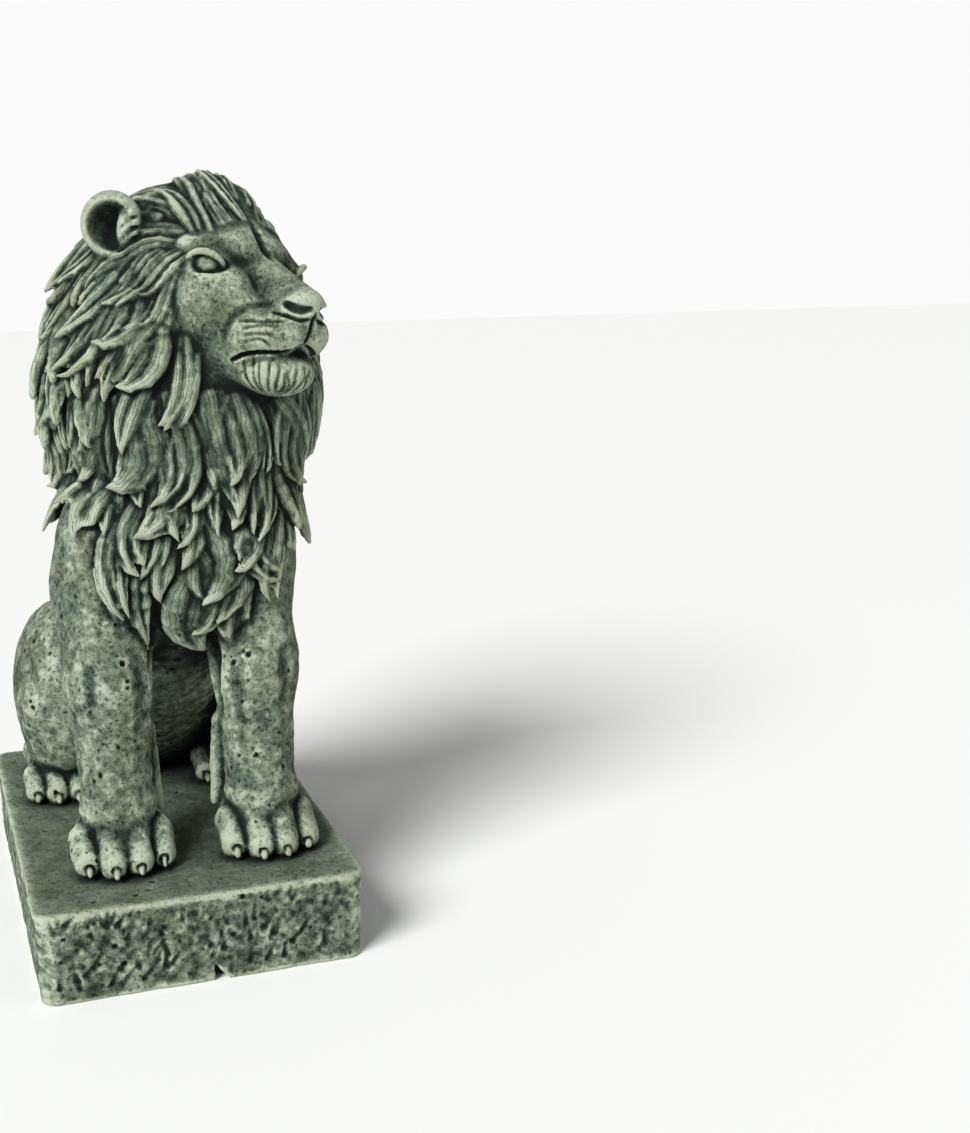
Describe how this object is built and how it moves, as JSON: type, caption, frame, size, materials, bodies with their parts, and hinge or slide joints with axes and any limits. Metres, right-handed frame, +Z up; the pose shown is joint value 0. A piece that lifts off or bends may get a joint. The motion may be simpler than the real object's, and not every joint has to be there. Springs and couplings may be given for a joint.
{
  "type": "stone lion statue",
  "caption": "Seated guardian lion in aged cast stone on its own block plinth, head turned to its left, for a gate pier, doorway or garden.",
  "frame": {"origin": "middle of the plinth's flat underside", "axes": "+Z up; the lion's body and paws face -Y; its head is turned towards +X"},
  "size_m": [0.2907, 0.4113, 0.65],
  "materials": {
    "cast_stone": "weathered grey-green cast stone, rough and pitted, dark in the hollows"
  },
  "bodies": {
    "root": {"lion_statue": "cast_stone"}
  },
  "joints": []
}
